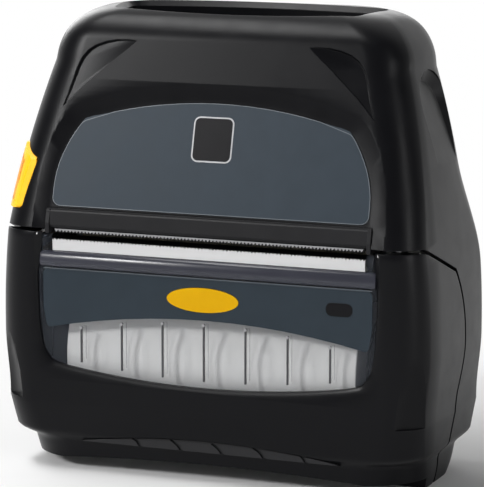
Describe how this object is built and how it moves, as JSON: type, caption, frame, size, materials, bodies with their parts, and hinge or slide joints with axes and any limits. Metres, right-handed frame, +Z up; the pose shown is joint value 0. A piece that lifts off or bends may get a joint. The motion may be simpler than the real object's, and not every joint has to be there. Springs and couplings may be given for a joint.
{
  "type": "portable label printer",
  "caption": "Upright handheld label printer with a front-opening media cover, smoked roll window, platen drive, tear bars, control keys and a clip-in battery.",
  "frame": {"origin": "on the ground under the middle of the body's bounding box", "axes": "+Z up, -Y the front with the label exit and window, +X to the viewer's right"},
  "size_m": [0.155, 0.067, 0.158],
  "materials": {
    "body_black": "satin moulded",
    "inner_black": "matte moulded",
    "panel_slate": "satin film",
    "window_smoke": "clear smoked",
    "display_glass": "clear",
    "display_cell": "glossy",
    "plaque_yellow": "glossy",
    "button_orange": "satin moulded",
    "tear_steel": "brushed",
    "frame_steel": "brushed",
    "spring_steel": "bright",
    "screw_black": "black",
    "platen_rubber": "smooth",
    "soft_rubber": "matte",
    "gear_white": "satin",
    "gear_brass": "bright",
    "bush_tan": "satin",
    "board_green": "solder resist",
    "can_steel": "bright",
    "contact_gold": "gold plated",
    "head_ceramic": "glazed",
    "head_alloy": "mill",
    "label_paper": "matte paper",
    "core_board": "matte board",
    "key_grey": "matte"
  },
  "bodies": {
    "housing": {"housing_shell": "body_black", "back_plate": "inner_black", "upper_panel": "panel_slate", "exit_bar": "inner_black", "upper_tear_bar": "inner_black", "control_plate": "inner_black", "display_module": "display_cell", "display_lens": "display_glass", "keypad_board": "board_green", "main_board": "board_green", "io_board": "board_green", "port_sockets": "can_steel", "bay_liner": "inner_black", "side_plate_right": "frame_steel", "side_plate_left": "frame_steel", "spring_rail": "frame_steel", "printhead_pivot_rod": "tear_steel", "printhead_springs": "spring_steel", "latch_spring": "spring_steel", "button_spring": "spring_steel", "drive_motor": "can_steel", "idler_stud": "tear_steel", "hinge_pins": "tear_steel", "arm_rod": "tear_steel", "battery_connector": "inner_black", "battery_contacts": "contact_gold", "back_screws": "screw_black", "inner_screws": "screw_black"},
    "cover": {"cover_shell": "body_black", "cover_window": "window_smoke", "lower_panel": "panel_slate", "oval_inlay": "plaque_yellow", "lower_tear_bar": "tear_steel", "platen_carrier": "inner_black", "platen_bushes": "bush_tan"},
    "platen": {"platen_rubber": "platen_rubber", "platen_shaft": "tear_steel", "platen_gear": "gear_white"},
    "idler": {"idler_gear": "gear_white"},
    "motor_rotor": {"motor_shaft": "tear_steel", "motor_pinion": "gear_brass"},
    "printhead_swing": {"printhead_bracket": "head_alloy", "printhead": "head_ceramic"},
    "latch": {"latch_bar": "frame_steel"},
    "button": {"release_button": "button_orange"},
    "roll": {"label_roll": "label_paper", "roll_core": "core_board"},
    "arm_right": {"media_arm_right": "inner_black"},
    "arm_left": {"media_arm_left": "inner_black"},
    "disk_right": {"media_disk_right": "inner_black"},
    "disk_left": {"media_disk_left": "inner_black"},
    "sync_pinion": {"arm_pinion": "gear_white"},
    "battery": {"battery_pack": "inner_black"},
    "door": {"port_door": "soft_rubber"},
    "key_power": {"power_key": "key_grey"},
    "key_feed": {"feed_key": "key_grey"},
    "key_soft_left": {"soft_key_left": "key_grey"},
    "key_soft_right": {"soft_key_right": "key_grey"},
    "key_nav": {"nav_ring": "key_grey"},
    "key_select": {"select_key": "key_grey"}
  },
  "joints": [
    {"name": "cover_hinge", "type": "hinge", "parent": "housing", "child": "cover", "pos_m": [0, -0.007, 0.0055], "axis": [1, 0, 0], "range_deg": [0, 90]},
    {"name": "platen_spin", "type": "hinge", "parent": "cover", "child": "platen", "pos_m": [0, -0.0195, 0.0735], "axis": [1, 0, 0], "continuous": true},
    {"name": "idler_spin", "type": "hinge", "parent": "housing", "child": "idler", "pos_m": [0, -0.00081, 0.07694], "axis": [1, 0, 0], "continuous": true},
    {"name": "motor_spin", "type": "hinge", "parent": "housing", "child": "motor_rotor", "pos_m": [0, 0.00764, 0.09157], "axis": [1, 0, 0], "continuous": true},
    {"name": "head_tilt", "type": "hinge", "parent": "housing", "child": "printhead_swing", "pos_m": [0, -0.009, 0.089], "axis": [1, 0, 0], "range_deg": [0, 4], "stiffness_Nm_per_rad": 2, "springref_deg": -2.86, "deforming": ["printhead_springs"]},
    {"name": "button_press", "type": "slide", "parent": "housing", "child": "button", "axis": [1, 0, 0], "range_m": [0, 0.003], "stiffness_N_per_m": 600, "deforming": ["button_spring"]},
    {"name": "latch_turn", "type": "hinge", "parent": "housing", "child": "latch", "pos_m": [0, -0.004, 0.082], "axis": [1, 0, 0], "range_deg": [-10.1, 0]},
    {"name": "roll_spin", "type": "hinge", "parent": "housing", "child": "roll", "pos_m": [0, -0.0015, 0.04], "axis": [1, 0, 0], "continuous": true},
    {"name": "arm_slide_right", "type": "slide", "parent": "housing", "child": "arm_right", "axis": [1, 0, 0], "range_m": [0, 0.0045], "stiffness_N_per_m": 150},
    {"name": "arm_slide_left", "type": "slide", "parent": "housing", "child": "arm_left", "axis": [-1, 0, 0], "range_m": [0, 0.0045]},
    {"name": "sync_pinion_turn", "type": "hinge", "parent": "housing", "child": "sync_pinion", "pos_m": [0, 0.02, 0.006], "axis": [0, 0, 1], "range_deg": [-52, 0]},
    {"name": "disk_spin_right", "type": "hinge", "parent": "arm_right", "child": "disk_right", "pos_m": [0, -0.0015, 0.04], "axis": [1, 0, 0], "continuous": true},
    {"name": "disk_spin_left", "type": "hinge", "parent": "arm_left", "child": "disk_left", "pos_m": [0, -0.0015, 0.04], "axis": [1, 0, 0], "continuous": true},
    {"name": "battery_slide", "type": "slide", "parent": "housing", "child": "battery", "axis": [0, 1, 0], "range_m": [0, 0.026]},
    {"name": "port_door_hinge", "type": "hinge", "parent": "housing", "child": "door", "pos_m": [-0.07475, 0.0252, 0.0975], "axis": [0.1547, 0, 0.988], "range_deg": [-100, 0]},
    {"name": "power_press", "type": "slide", "parent": "housing", "child": "key_power", "axis": [0, 0, -1], "range_m": [0, 0.0006], "stiffness_N_per_m": 300},
    {"name": "feed_press", "type": "slide", "parent": "housing", "child": "key_feed", "axis": [0, 0, -1], "range_m": [0, 0.0006], "stiffness_N_per_m": 300},
    {"name": "soft_left_press", "type": "slide", "parent": "housing", "child": "key_soft_left", "axis": [0, 0, -1], "range_m": [0, 0.0006], "stiffness_N_per_m": 300},
    {"name": "soft_right_press", "type": "slide", "parent": "housing", "child": "key_soft_right", "axis": [0, 0, -1], "range_m": [0, 0.0006], "stiffness_N_per_m": 300},
    {"name": "nav_press", "type": "slide", "parent": "housing", "child": "key_nav", "axis": [0, 0, -1], "range_m": [0, 0.0006], "stiffness_N_per_m": 300},
    {"name": "select_press", "type": "slide", "parent": "housing", "child": "key_select", "axis": [0, 0, -1], "range_m": [0, 0.0006], "stiffness_N_per_m": 300}
  ],
  "couplings": [
    {"joint": "idler_spin", "follows": "platen_spin", "ratio": -0.5},
    {"joint": "motor_spin", "follows": "platen_spin", "ratio": 1.5},
    {"joint": "latch_turn", "follows": "button_press", "rad_per_m": -58.178},
    {"joint": "arm_slide_left", "follows": "arm_slide_right", "ratio": 1},
    {"joint": "sync_pinion_turn", "follows": "arm_slide_right", "rad_per_m": -200},
    {"joint": "disk_spin_right", "follows": "roll_spin", "ratio": 1},
    {"joint": "disk_spin_left", "follows": "roll_spin", "ratio": 1}
  ]
}
